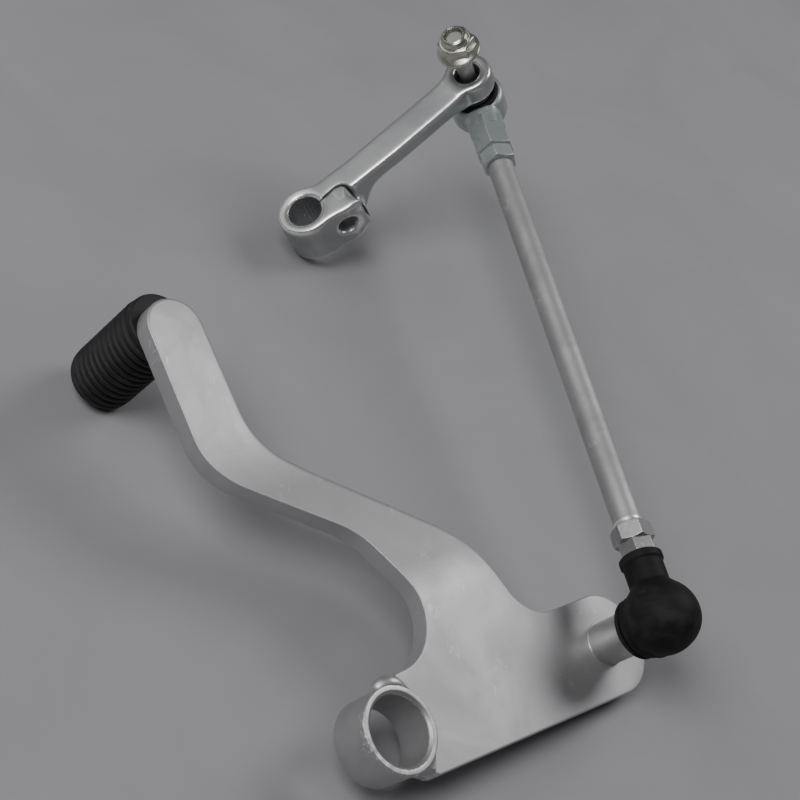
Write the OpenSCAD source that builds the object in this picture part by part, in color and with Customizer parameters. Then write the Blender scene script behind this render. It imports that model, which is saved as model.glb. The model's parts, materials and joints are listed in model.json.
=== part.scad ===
// Gear shift lever for a motorcycle: a flat cranked lever with its welded pivot tube and
// ribbed foot peg, a ball-jointed tie rod, and the short splined arm on the gearbox side.
// Frame: the origin is on the pivot tube's axis, in the lever's flat front face.
// Z points along the pivot axis, out of that face, and X points from the pivot to the peg.

/* [View] */
// Sub-part to draw, or all of them
// Facets on a full turn of the larger rounds
round_facets = 48; // [24:2:96]

/* [Pivot tube] */
// Bore for the pivot bolt's bush
tube_bore = 17.6; // [12:0.1:24]
// Wall of the tube
tube_wall = 2.1; // [1.5:0.1:4]
// Length along the pivot axis
tube_length = 12.5; // [8:0.5:40]
// How far the tube stands out of the lever's front face
tube_proud = 1.5; // [0.5:0.1:5]
// Chamfer at the outer rims
tube_chamfer = 0.6; // [0.2:0.1:1]
// Chamfer at the bore's rims
bore_chamfer = 0.3; // [0.1:0.05:0.6]
// Width of the weld bead on each face
weld_size = 2.2; // [1:0.1:4]

/* [Lever plate] */
// Plate thickness
plate_thick = 6; // [4:0.5:10]
// Sideways step between the two flats
step_depth = 15; // [0:0.5:25]
// Where the step's first bend begins
step_start = 25; // [20:0.5:40]
// Where the step's last bend ends
step_end = 86; // [70:0.5:95]
// Length of the first bend
bend_in = 12; // [4:0.5:20]
// Length of the last bend
bend_out = 20; // [4:0.5:30]
// Width of the flat that carries the peg
peg_end_width = 17.8; // [14:0.1:24]
// Width of the plate at the ball stud
stud_end_width = 28.3; // [22:0.1:36]

/* [Foot peg] */
// Distance from the pivot axis to the peg axis
peg_reach = 118.6; // [90:0.1:150]
// Diameter of the steel pin
peg_pin_d = 10; // [7:0.1:12]
// Length of the rubber sleeve
peg_length = 34.8; // [20:0.5:60]
// Diameter over the ribs
peg_rubber_d = 19.2; // [14:0.1:26]
// Number of ribs
peg_ribs = 11; // [4:1:14]
// Depth of the grooves between the ribs
peg_groove = 1.1; // [0.5:0.1:2]

/* [Lower ball joint] */
// Distance from the pivot axis to the ball stud
stud_reach = 80.4; // [60:0.1:110]
// Sideways offset of the ball stud
stud_offset = -1.3; // [-6:0.1:6]
// Height of the ball's centre over the lever's face
ball_height = 21.6; // [20:0.1:30]
// Diameter of the stud's round base
stud_base_d = 12; // [11:0.1:14]
// Diameter of the ball
ball_d = 9; // [8:0.1:9.5]
// Neck under the ball
neck_d = 5.8; // [4:0.1:6]
// Outside diameter of the rubber boot
boot_d = 20.8; // [20.4:0.1:24]
// Boot wall
boot_wall = 1.5; // [1:0.1:1.6]

/* [Tie rod] */
// Distance between the two ball centres
link_length = 186; // [150:0.5:260]
// Rod diameter
rod_d = 8; // [7.5:0.1:9]
// Thread diameter at both ends
thread_d = 6; // [5:0.1:6]
// Width of the lock nuts across their flats
lock_nut_af = 10; // [9:0.1:11]
// Height of the lower lock nut
lower_nut_h = 5.1; // [3:0.1:6]
// Height of the upper lock nut
upper_nut_h = 5.2; // [3:0.1:6]
// Swing of the rod about the lower stud, from the X axis
rod_yaw = -20.2; // [-40:0.1:10]
// Fall of the rod towards the lever's plane
rod_drop = 8.6; // [0:0.1:12]

/* [Upper ball joint] */
// Outside diameter of the head's eye
head_d = 18; // [17.6:0.1:22]
// Width across the flats of the head's shank
head_af = 11; // [10:0.1:12]
// Diameter of the ball
head_ball_d = 10; // [9:0.1:10]
// Turn of the head about the rod, against the lower stud
head_twist = 52; // [0:1:90]
// Plain shank of the threaded stud
shank_d = 5.2; // [4.5:0.1:5.9]
// Distance from the ball's centre to the stud's tip
stud_tip = 31.5; // [28:0.5:40]
// Underside of the flange nut, from the ball's centre
nut_seat = 25; // [22:0.5:30]

/* [Shift arm] */
// Distance between the stud hole and the splined bore
arm_length = 67.4; // [45:0.1:100]
// Angle of the arm from the rod's direction
arm_angle = 115; // [85:1:145]
// Stud hole
arm_hole = 8; // [6.5:0.1:9]
// Diameter of the arm's stud end
arm_end_d = 15.8; // [14:0.1:18]
// Thickness of the stud end
arm_end_thick = 8; // [6:0.5:10]
// Thickness of the bar
arm_bar_thick = 6.4; // [5:0.1:8]
// Thickness of the clamp
clamp_thick = 16; // [12:0.5:20]
// Diameter of the clamp round its bore
clamp_d = 18; // [16.5:0.1:22]
// Splined bore, across the teeth's tips
spline_bore = 10.7; // [9:0.1:11.5]
// Number of spline grooves
spline_teeth = 26; // [16:1:34]
// Depth of the spline grooves
spline_depth = 0.6; // [0.3:0.05:0.8]
// Width of the slit
slit_width = 1.0; // [0.6:0.1:1.6]
// Clearance hole for the pinch bolt
pinch_hole = 6.4; // [5:0.1:6.6]
// Tapped side of the pinch bolt's hole
pinch_tap = 5; // [4:0.1:5.2]

/* [Hidden] */
$fn = round_facets;
eps = 0.01;
run_gap = 0.05;
steel = [0.72, 0.72, 0.73];
bright = [0.80, 0.80, 0.78];
zinc = [0.66, 0.69, 0.69];
rubber = [0.05, 0.05, 0.055];
plastic = [0.85, 0.84, 0.80];

// Length of a cut that goes right through
through = 60;

// Derived sizes of the lever
tube_od = tube_bore + 2 * tube_wall;
tube_back = tube_proud - tube_length;
peg_half = peg_end_width / 2;
stud_half = stud_end_width / 2;
stud_end_drop = 0.7;
stud_end_shift = 0.65;
end_centre = -stud_reach - stud_end_drop;
end_left = stud_offset - stud_end_shift - stud_half;
end_right = stud_offset - stud_end_shift + stud_half;
peg_face = -step_depth;
peg_back = peg_face - plate_thick;
peg_socket = 3;
slope_run = step_end - step_start - (bend_in + bend_out) / 2;
slope = step_depth / slope_run;

// Corners of the lever's outline: horns beside the tube, crook and knee over the slope,
// armpit and elbow under it, and the two bends before the peg
horn_y = -5.8;
horn_left = -tube_od / 2 - 2.4;
horn_right = tube_od / 2 + 1.5;
horn_round = 0.8;
horn_turn = asin(-horn_y / tube_od * 2) + 1;
crook_x = 13.4;
crook_y = -28.3;
crook_round = 15.5;
knee_x = 48.9;
knee_y = -20.2;
knee_round = 18;
armpit_x = 12.6;
armpit_y = -57.6;
armpit_round = 12;
elbow_x = 40.5;
elbow_y = -50.4;
elbow_round = 24;
upper_bend_x = 75.5;
upper_bend_out = 0.8;
upper_bend_round = 20;
lower_bend_x = 80.6;
lower_bend_round = 22;
tip_x = peg_reach + 4.8;

// Derived sizes of the lower joint, seen from the ball's centre
rivet_d = 8;
rivet_head_d = 11.4;
rivet_head_h = 0.9;
base_height = 13.2;
ring_height = 12;
ring_lip = 0.2;
base_top = base_height - ball_height;
ring_low = ring_height - ball_height;
ring_high = base_top - ring_lip;
ring_top = ring_high + 0.25;
ring_groove = 0.5;
ring_round = 0.5;
ring_side = 0.9;
ring_d = 16.6;
boot_mouth = 55;
head_shell = boot_d / 2 - boot_wall - 0.2;
liner_d = 11.4;
liner_low = -3.2;
liner_high = 5.0;
shell_low = -4.4;
shell_high = 6.2;
mouth_angle = 60;
lower_shank_d = 9.4;
lower_hex_af = 9;
boot_neck_end = 18.4;
lower_head_end = 22.2;
rod_low = lower_head_end + lower_nut_h;
thread_grip = 10;

// Derived sizes of the upper joint, seen from its ball's centre
upper_liner_d = 13.2;
upper_liner_low = -5.5;
upper_liner_high = 3.0;
head_low = -6.7;
head_high = 4.2;
upper_mouth_angle = 52;
upper_neck_d = 6;
collar_low = 6.0;
arm_seat = 7.2;
collar_d = 10.4;
seal_low = 3.4;
seal_high = 5.2;
seal_in_d = 11.2;
seal_out_d = 15.6;
head_shank = 22.6;
rod_high = link_length - head_shank - upper_nut_h;
nut_af = 10;
nut_flange_d = 13.6;
nut_hex_h = 5.4;
nut_height = 7.8;

// Derived sizes of the arm
arm_top = arm_seat + arm_end_thick;
bar_top = arm_top - 0.4;
bar_low = bar_top - arm_bar_thick;
clamp_low = bar_top - clamp_thick;
clamp_mid = bar_top - clamp_thick / 2;
pinch_x = arm_length - spline_bore / 2 - 2.6;
slit_turn = 3;
slit_x = pinch_x - 6.6;
slit_y = 1.1;

// Places and turns of the three moving groups
module at_stud()
    translate([stud_offset, -stud_reach, ball_height])
        children();

module at_rod()
    at_stud()
        rotate([0, 0, rod_yaw])
            rotate([0, rod_drop, 0])
                children();

module at_head()
    at_rod()
        translate([link_length, 0, 0])
            rotate([-head_twist, 0, 0])
                children();

module at_arm()
    at_head()
        rotate([0, 0, arm_angle])
            children();

// Turns the drawing so that its Z axis lies along X
module along_x()
    rotate([0, 90, 0])
        children();

// Replaces each corner [x, y, radius] of an outline with an arc
function toward(a, b) = (b - a) / norm(b - a);
function bend_arc(p, q, s, r, n = 8) =
    let (
        a = toward(q, p),
        b = toward(q, s),
        half = acos(a * b) / 2,
        c = q + (a + b) / norm(a + b) * r / sin(half),
        t = q + a * r / tan(half) - c,
        u = q + b * r / tan(half) - c,
        from = atan2(t.y, t.x),
        turn = atan2(u.y, u.x) - from,
        sweep = turn > 180 ? turn - 360 : turn < -180 ? turn + 360 : turn
    )
    [for (i = [0 : n]) c + r * [cos(from + sweep * i / n), sin(from + sweep * i / n)]];

function softened(pts) =
    let (m = len(pts))
    [for (i = [0 : m - 1])
        let (
            p = pts[(i + m - 1) % m],
            q = pts[i],
            s = pts[(i + 1) % m]
        )
        each bend_arc([p.x, p.y], [q.x, q.y], [s.x, s.y], q.z)];

// Height of the front face along the step: level, curved, sloping, curved, level
function eased(t) = t < 0 ? 0 : t;
function step_z(x) =
    let (
        a = eased(x - step_start),
        b = eased(x - step_start - bend_in),
        c = eased(x - step_end + bend_out),
        d = eased(x - step_end)
    )
    -slope * (a * a - b * b) / (2 * bend_in) + slope * (c * c - d * d) / (2 * bend_out);

function step_slope(x) =
    let (
        up = min(1, eased(x - step_start) / bend_in),
        down = min(1, eased(x - step_end + bend_out) / bend_out)
    )
    slope * (up - down);

function step_places() =
    concat([-through], [for (i = [0 : 6]) step_start + bend_in * i / 6],
        [for (i = [0 : 8]) step_end - bend_out + bend_out * i / 8], [peg_reach + through]);

module step_band()
    rotate([90, 0, 0])
        linear_extrude(height = 5 * through, center = true)
            polygon(concat(
                [for (x = step_places()) [x, step_z(x)]],
                [for (i = [len(step_places()) - 1 : -1 : 0])
                    let (x = step_places()[i])
                    [x, step_z(x) - plate_thick * sqrt(1 + pow(step_slope(x), 2))]]
            ));

module plate_outline()
    polygon(softened([
        [horn_left, horn_y, horn_round],
        [end_left, end_centre - stud_half, 0.95 * stud_half],
        [end_right, end_centre - stud_half, 0.95 * stud_half],
        [armpit_x, armpit_y, armpit_round],
        [elbow_x, elbow_y, elbow_round],
        [lower_bend_x, -peg_half, lower_bend_round],
        [tip_x, -peg_half, 0.97 * peg_half],
        [tip_x, peg_half, 0.97 * peg_half],
        [upper_bend_x, peg_half + upper_bend_out, upper_bend_round],
        [knee_x, knee_y, knee_round],
        [crook_x, crook_y, crook_round],
        [horn_right, horn_y, horn_round]
    ]));

module lever_plate()
    color(steel)
        difference() {
            intersection() {
                translate([0, 0, -through])
                    linear_extrude(height = 2 * through)
                        plate_outline();
                step_band();
            }
            translate([0, 0, -through])
                cylinder(d = tube_od, h = 2 * through);
            translate([stud_offset, -stud_reach, -through])
                cylinder(d = rivet_d, h = 2 * through);
            translate([peg_reach, 0, peg_back - 1])
                cylinder(d = peg_pin_d - 2, h = peg_socket + 1);
        }

module pivot_tube()
    color(steel)
        translate([0, 0, tube_back])
            rotate_extrude()
                polygon([
                    [tube_bore / 2, bore_chamfer],
                    [tube_bore / 2 + bore_chamfer, 0],
                    [tube_od / 2 - tube_chamfer, 0],
                    [tube_od / 2, tube_chamfer],
                    [tube_od / 2, tube_length - tube_chamfer],
                    [tube_od / 2 - tube_chamfer, tube_length],
                    [tube_bore / 2 + bore_chamfer, tube_length],
                    [tube_bore / 2, tube_length - bore_chamfer]
                ]);

// Bead in the corner behind the plate, and the two runs that fill the ends of its saddle
module pivot_weld()
    color(bright) {
        translate([0, 0, -plate_thick])
            rotate([0, 0, 180 + horn_turn])
                rotate_extrude(angle = 180 - 2 * horn_turn)
                    polygon([
                        [tube_od / 2, 0],
                        [tube_od / 2 + weld_size, 0],
                        [tube_od / 2 + weld_size * 0.7, -weld_size * 0.5],
                        [tube_od / 2 + weld_size * 0.3, -weld_size * 0.85],
                        [tube_od / 2, -weld_size]
                    ]);
        for (side = [0, 1])
            mirror([side, 0, 0])
                translate([0, 0, -plate_thick])
                    linear_extrude(height = plate_thick)
                        difference() {
                            polygon([
                                [tube_od / 2 - 1.5, horn_y],
                                [tube_od / 2 + 1.4, horn_y],
                                [tube_od / 2 + 1.3, horn_y + 1.6],
                                [tube_od / 2 + 1, horn_y + 3.4],
                                [tube_od / 2 + 0.5, horn_y + 5],
                                [tube_od / 2 - 0.3, horn_y + 6.2]
                            ]);
                            circle(d = tube_od);
                        }
    }

module peg_pin()
    color(steel)
        translate([peg_reach, 0, peg_back])
            rotate_extrude()
                polygon([
                    [0, peg_socket],
                    [peg_pin_d / 2 - 1, peg_socket],
                    [peg_pin_d / 2 - 1, 0],
                    [peg_pin_d / 2, 0],
                    [peg_pin_d / 2, 5 - peg_length],
                    [peg_pin_d / 2 - 1, 4 - peg_length],
                    [0, 4 - peg_length]
                ]);

module peg_rubber()
    color(rubber)
        translate([peg_reach, 0, peg_back])
            rotate_extrude()
                polygon(concat(
                    [
                        [0, 4 - peg_length],
                        [peg_pin_d / 2 - 1, 4 - peg_length],
                        [peg_pin_d / 2, 5 - peg_length],
                        [peg_pin_d / 2, 0],
                        [peg_rubber_d / 2 - 0.4, 0]
                    ],
                    peg_profile(),
                    [for (a = [10 : 20 : 90])
                        [(peg_rubber_d / 2 - 3.6) + 3.2 * cos(a),
                            3.2 - peg_length - 3.2 * sin(a)]],
                    [[0, -peg_length]]
                ));

// Ribs and grooves down the side of the sleeve
function peg_profile() =
    let (
        top = -2,
        low = 4 - peg_length,
        pitch = (top - low) / peg_ribs,
        big = peg_rubber_d / 2,
        small = peg_rubber_d / 2 - peg_groove
    )
    [for (i = [0 : peg_ribs - 1])
        let (z = top - pitch * i)
        each [
            [small, z],
            [small, z - pitch * 0.25],
            [big, z - pitch * 0.45],
            [big, z - pitch * 0.8]
        ]];

// Base, neck and ball in one turned piece, riveted through the plate
module ball_stud()
    color(steel)
        at_stud()
            rotate_extrude()
                polygon(concat(
                    [
                        [0, -ball_height - plate_thick - rivet_head_h],
                        [rivet_head_d / 2 - 1.2, -ball_height - plate_thick - rivet_head_h],
                        [rivet_head_d / 2, -ball_height - plate_thick - 0.2],
                        [rivet_head_d / 2, -ball_height - plate_thick],
                        [rivet_d / 2, -ball_height - plate_thick],
                        [rivet_d / 2, -ball_height],
                        [stud_base_d / 2, -ball_height],
                        [stud_base_d / 2, ring_low],
                        [stud_base_d / 2 - ring_groove, ring_low],
                        [stud_base_d / 2 - ring_groove, ring_high],
                        [stud_base_d / 2, ring_high],
                        [stud_base_d / 2, base_top],
                        [neck_d / 2 + 0.8, base_top],
                        [neck_d / 2, base_top + 0.8]
                    ],
                    ball_arc(ball_d / 2, asin(neck_d / ball_d), 180, 20),
                    [[0, ball_d / 2]]
                ));

// Arc of a ball's outline, by angle from straight down
function ball_arc(r, from, to, n) =
    [for (i = [0 : n - 1])
        let (a = from + (to - from) * i / n)
        [r * sin(a), -r * cos(a)]];

module boot_ring()
    color(rubber)
        at_stud()
            rotate_extrude()
                polygon([
                    [stud_base_d / 2 - ring_groove + run_gap, ring_low + run_gap],
                    [ring_d / 2 - ring_round, ring_low + run_gap],
                    [ring_d / 2, ring_low + ring_round],
                    [ring_d / 2, ring_low + ring_side],
                    [ring_d / 2 - ring_round + 0.1, ring_top],
                    [stud_base_d / 2 + run_gap, ring_top],
                    [stud_base_d / 2 + run_gap, ring_high - run_gap],
                    [stud_base_d / 2 - ring_groove + run_gap, ring_high - run_gap]
                ]);

// Round shell with a wide mouth, and a sleeve that grips the head's shank
module boot()
    color(rubber)
        at_rod()
            difference() {
                union() {
                    rotate_extrude()
                        polygon(concat(
                            ball_arc(boot_d / 2, boot_mouth, 180, 24),
                            [[0, boot_d / 2], [0, 0]],
                            [[0, -boot_d / 2 * cos(boot_mouth)]]
                        ));
                    along_x()
                        rotate_extrude()
                            polygon([
                                [0, 2],
                                [5.6, 2],
                                [5.6, 10.2],
                                [5.5, boot_neck_end - 5.6],
                                [5.5, boot_neck_end - 3.1],
                                [5.9, boot_neck_end - 2.2],
                                [5.9, boot_neck_end - 0.6],
                                [5.4, boot_neck_end],
                                [0, boot_neck_end]
                            ]);
                }
                rotate_extrude()
                    polygon(concat(
                        [[0, -boot_d]],
                        [[boot_d * tan(boot_mouth), -boot_d]],
                        ball_arc(boot_d / 2 - boot_wall, boot_mouth, 180, 24),
                        [[0, boot_d / 2 - boot_wall]]
                    ));
                along_x()
                    cylinder(d = lower_shank_d, h = boot_neck_end + 1);
            }

// Housing of the lower ball: a rounded eye with its bore closed from above
module lower_head()
    color(zinc)
        at_rod()
            difference() {
                union() {
                    rotate_extrude()
                        polygon(concat(
                            [[0, shell_low]],
                            ball_arc(head_shell, acos(-shell_low / head_shell),
                                180 - acos(shell_high / head_shell), 12),
                            [[head_shell * sin(acos(shell_high / head_shell)), shell_high],
                                [0, shell_high]]
                        ));
                    along_x()
                        cylinder(d = lower_shank_d, h = boot_neck_end + 0.3);
                    along_x()
                        translate([0, 0, boot_neck_end])
                            rotate([0, 0, 8])
                                cylinder(d = lower_hex_af / cos(30),
                                    h = lower_head_end - boot_neck_end, $fn = 6);
                }
                head_cavity(liner_d, liner_low, shell_high, ball_d / 2 + run_gap, mouth_angle,
                    shell_low);
                along_x()
                    translate([0, 0, lower_head_end - thread_grip])
                        cylinder(d = thread_d, h = thread_grip + 1, $fn = 32);
            }

// Stepped bore for a liner, with a flared mouth for the stud's neck
module head_cavity(bore, ledge, top, r, mouth, face)
    rotate_extrude()
        polygon([
            [0, face - 1],
            [mouth_r(r, mouth, face - 1), face - 1],
            [mouth_r(r, mouth, ledge), ledge],
            [bore / 2, ledge],
            [bore / 2, top + 1],
            [0, top + 1]
        ]);

// Radius of the flared mouth at height z
function mouth_r(r, mouth, z) = r * sin(mouth) + (-z - r * cos(mouth)) * 0.43;

// Plastic cup round the ball
module liner_cup(od, low, high, r, mouth)
    rotate_extrude()
        polygon(concat(
            [
                [od / 2, high],
                [od / 2, low],
                [mouth_r(r, mouth, low), low]
            ],
            ball_arc(r, mouth, 180, 24),
            [[0, r], [0, high]]
        ));

module lower_liner()
    color(plastic)
        at_rod()
            liner_cup(liner_d, liner_low, liner_high, ball_d / 2 + run_gap, mouth_angle);

module lower_cap()
    color(steel)
        at_rod()
            translate([0, 0, liner_high])
                cylinder(d = liner_d, h = shell_high - liner_high);

// Six-sided nut with both faces chamfered
module lock_nut(h, turn)
    difference() {
        intersection() {
            rotate([0, 0, turn])
                cylinder(d = lock_nut_af / cos(30), h = h, $fn = 6);
            nut_chamfer(lock_nut_af, h, true);
        }
        translate([0, 0, -1])
            cylinder(d = thread_d, h = h + 2, $fn = 32);
    }

module nut_chamfer(af, h, both)
    rotate_extrude()
        polygon([
            [0, 0],
            [both ? af * 0.48 : af, 0],
            [both ? af * 0.6 : af, both ? af * 0.07 : 0],
            [af * 0.6, h - af * 0.07],
            [af * 0.48, h],
            [0, h]
        ]);

module lower_lock_nut()
    color(steel)
        at_rod()
            along_x()
                translate([0, 0, lower_head_end])
                    lock_nut(lower_nut_h, 38);

module tie_rod()
    color(steel)
        at_rod()
            along_x()
                rotate_extrude()
                    polygon([
                        [0, lower_head_end - thread_grip],
                        [thread_d / 2 - 0.6, lower_head_end - thread_grip],
                        [thread_d / 2, lower_head_end - thread_grip + 0.6],
                        [thread_d / 2, rod_low],
                        [rod_d / 2 - 0.5, rod_low],
                        [rod_d / 2, rod_low + 0.9],
                        [rod_d / 2, rod_high - 0.5],
                        [rod_d / 2 - 0.4, rod_high],
                        [thread_d / 2, rod_high],
                        [thread_d / 2, link_length - head_shank + thread_grip - 0.6],
                        [thread_d / 2 - 0.6, link_length - head_shank + thread_grip],
                        [0, link_length - head_shank + thread_grip]
                    ]);

module upper_lock_nut()
    color(steel)
        at_rod()
            along_x()
                translate([0, 0, rod_high])
                    lock_nut(upper_nut_h, 12);

// Open-topped eye on a six-sided shank, with a groove for its seal
module upper_head()
    color(zinc)
        at_head()
            difference() {
                union() {
                    rotate_extrude()
                        polygon([
                            [0, head_low],
                            [head_d / 2 - 2, head_low],
                            [head_d / 2 - 0.6, head_low + 0.7],
                            [head_d / 2, head_low + 2.2],
                            [head_d / 2, head_high - 1.2],
                            [head_d / 2 - 0.4, head_high - 0.3],
                            [head_d / 2 - 1, head_high],
                            [0, head_high]
                        ]);
                    rotate([0, -90, 0])
                        translate([0, 0, 6])
                            cylinder(d = head_af + 0.4, h = head_shank - 15);
                    rotate([0, -90, 0])
                        translate([0, 0, head_shank - 12.5])
                            intersection() {
                                cylinder(d = head_af / cos(30), h = 12.5, $fn = 6);
                                nut_chamfer(head_af, 12.5, true);
                            }
                }
                mirror([0, 0, 1])
                    head_cavity(upper_liner_d, -upper_liner_high, -head_low,
                        head_ball_d / 2 + run_gap + 0.3, upper_mouth_angle, -head_high);
                translate([0, 0, seal_low])
                    difference() {
                        cylinder(d = seal_out_d, h = 4);
                        translate([0, 0, -1])
                            cylinder(d = seal_in_d, h = 6);
                    }
                rotate([0, -90, 0])
                    translate([0, 0, head_shank - thread_grip])
                        cylinder(d = thread_d, h = thread_grip + 1, $fn = 32);
            }

module upper_liner()
    color(plastic)
        at_head()
            mirror([0, 0, 1])
                liner_cup(upper_liner_d, -upper_liner_high, -upper_liner_low,
                    head_ball_d / 2 + run_gap, upper_mouth_angle);

module upper_cap()
    color(steel)
        at_head()
            translate([0, 0, head_low])
                cylinder(d = upper_liner_d, h = upper_liner_low - head_low);

module upper_seal()
    color(rubber)
        at_head()
            rotate_extrude()
                polygon([
                    [seal_in_d / 2, seal_low],
                    [seal_out_d / 2, seal_low],
                    [seal_out_d / 2, head_high],
                    [seal_out_d / 2 - 0.3, seal_high - 0.3],
                    [seal_out_d / 2 - 0.8, seal_high],
                    [seal_in_d / 2 + 0.4, seal_high],
                    [seal_in_d / 2, seal_high - 0.4]
                ]);

// Ball, neck, collar and threaded shank in one turned piece
module upper_stud()
    color(steel)
        at_head()
            rotate_extrude()
                polygon(concat(
                    [[0, -head_ball_d / 2]],
                    [for (i = [1 : 22])
                        let (a = i / 22 * (180 - asin(upper_neck_d / head_ball_d)))
                        [head_ball_d / 2 * sin(a), -head_ball_d / 2 * cos(a)]],
                    [
                        [upper_neck_d / 2, collar_low - 0.6],
                        [upper_neck_d / 2 + 0.6, collar_low],
                        [collar_d / 2 - 0.3, collar_low],
                        [collar_d / 2, collar_low + 0.3],
                        [collar_d / 2, arm_seat],
                        [shank_d / 2, arm_seat],
                        [shank_d / 2, nut_seat - 2],
                        [thread_d / 2, nut_seat - 1.6],
                        [thread_d / 2, stud_tip - 0.7],
                        [thread_d / 2 - 0.7, stud_tip],
                        [0, stud_tip]
                    ]
                ));

// Flange, hex and the round collar that holds the locking insert
module flange_nut()
    color(bright)
        at_head()
            translate([0, 0, nut_seat])
                difference() {
                    union() {
                        rotate_extrude()
                            polygon([
                                [0, 0],
                                [nut_flange_d / 2 - 0.3, 0],
                                [nut_flange_d / 2, 0.3],
                                [nut_flange_d / 2, 0.9],
                                [nut_flange_d / 2 - 0.4, 1.2],
                                [nut_af / 2 - 0.2, 2.2],
                                [0, 2.2]
                            ]);
                        intersection() {
                            translate([0, 0, 0.5])
                                rotate([0, 0, 20])
                                    cylinder(d = nut_af / cos(30), h = nut_hex_h - 0.5, $fn = 6);
                            nut_chamfer(nut_af, nut_hex_h, false);
                        }
                        rotate_extrude()
                            polygon([
                                [0, 2],
                                [nut_af / 2 - 0.7, 2],
                                [nut_af / 2 - 0.7, nut_height - 1.4],
                                [nut_af / 2 - 1.1, nut_height - 0.5],
                                [nut_af / 2 - 1.9, nut_height],
                                [0, nut_height]
                            ]);
                    }
                    translate([0, 0, -1])
                        cylinder(d = thread_d, h = nut_height + 2, $fn = 32);
                }

// Side view of the arm: thick end, slimmer bar, deep clamp
module arm_side()
    rotate([90, 0, 0])
        linear_extrude(height = 60, center = true)
            polygon([
                [-arm_end_d, arm_seat],
                [arm_end_d / 2 - 0.6, arm_seat],
                [arm_end_d / 2 + 1.6, bar_low],
                [slit_x - 11, bar_low],
                [slit_x - 8, bar_low - 0.8],
                [slit_x - 1.6, clamp_low + 1.2],
                [slit_x + 0.6, clamp_low],
                [arm_length + clamp_d, clamp_low],
                [arm_length + clamp_d, bar_top],
                [arm_end_d / 2 + 0.8, bar_top],
                [arm_end_d / 2 + 0.2, arm_top],
                [-arm_end_d, arm_top]
            ]);

module arm_outline() {
    circle(d = arm_end_d);
    polygon([
        [0, -5.4],
        [arm_end_d / 2 + 4, -4.9],
        [arm_length - 20, -4.9],
        [arm_length - 8, -5.8],
        [arm_length, -clamp_d / 2],
        [arm_length, clamp_d / 2],
        [slit_x + 1, 5.4],
        [slit_x - 4, 5.6],
        [arm_length / 2, 6.2],
        [arm_end_d / 2 + 4, 6.1],
        [0, 5.8]
    ]);
    translate([arm_length, 0])
        circle(d = clamp_d);
}

// Free side of the clamp, rounded about the pinch bolt's axis
module clamp_ear()
    intersection() {
        translate([0, 0, clamp_low])
            linear_extrude(height = clamp_thick)
                polygon([
                    [slit_x - 1.4, slit_y],
                    [arm_length, slit_y],
                    [arm_length, clamp_d / 2],
                    [arm_length - 3, clamp_d / 2 + 0.2],
                    [arm_length - 6, clamp_d / 2 + 0.9],
                    [arm_length - 9, clamp_d / 2 + 1.9],
                    [arm_length - 12, clamp_d / 2 + 2.2],
                    [slit_x - 1.4, clamp_d / 2 + 1.8]
                ]);
        union() {
            translate([pinch_x, 0, clamp_mid])
                rotate([-90, 0, 0])
                    cylinder(d = clamp_thick, h = 30);
            translate([pinch_x, 0, clamp_low])
                cube([30, 30, clamp_thick]);
        }
    }

// Slit: straight out of the bore, then round a quarter turn and out of the side
module slit_shape() {
    translate([slit_x + slit_turn, slit_y - slit_width / 2])
        square([arm_length - slit_x - slit_turn, slit_width]);
    translate([slit_x + slit_turn, slit_y + slit_turn])
        intersection() {
            difference() {
                circle(r = slit_turn + slit_width / 2);
                circle(r = slit_turn - slit_width / 2);
            }
            translate([-10, -10])
                square(10);
        }
    translate([slit_x - slit_width / 2, slit_y + slit_turn - eps])
        square([slit_width, 20]);
}

module spline_shape() {
    circle(d = spline_bore, $fn = 104);
    for (i = [0 : spline_teeth - 1])
        rotate(i * 360 / spline_teeth)
            polygon([
                [spline_bore / 2 - 0.3, -spline_bore * 0.034],
                [spline_bore / 2 + spline_depth, -spline_bore * 0.008],
                [spline_bore / 2 + spline_depth, spline_bore * 0.008],
                [spline_bore / 2 - 0.3, spline_bore * 0.034]
            ]);
}

module shift_arm()
    color(steel)
        at_arm()
            difference() {
                union() {
                    intersection() {
                        translate([0, 0, clamp_low - 5])
                            linear_extrude(height = clamp_thick + 15)
                                arm_outline();
                        arm_side();
                    }
                    clamp_ear();
                }
                translate([0, 0, arm_seat - 10])
                    cylinder(d = arm_hole, h = 30);
                translate([0, 0, clamp_low - 10])
                    linear_extrude(height = clamp_thick + 30)
                        translate([arm_length, 0])
                            spline_shape();
                translate([0, 0, clamp_low - 10])
                    linear_extrude(height = clamp_thick + 30)
                        slit_shape();
                translate([pinch_x, slit_y, clamp_mid])
                    rotate([-90, 0, 0])
                        cylinder(d = pinch_hole, h = 20, $fn = 32);
                translate([pinch_x, slit_y + eps, clamp_mid])
                    rotate([90, 0, 0])
                        cylinder(d = pinch_tap, h = 20, $fn = 32);
            }

lever_plate();
pivot_tube();
pivot_weld();
peg_pin();
peg_rubber();
ball_stud();
boot_ring();
boot();
lower_head();
lower_liner();
lower_cap();
lower_lock_nut();
tie_rod();
upper_lock_nut();
upper_head();
upper_liner();
upper_cap();
upper_seal();
upper_stud();
flange_nut();
shift_arm();
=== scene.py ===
import json
import math

import bmesh
import bpy
import numpy as np
from mathutils import Matrix


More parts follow.
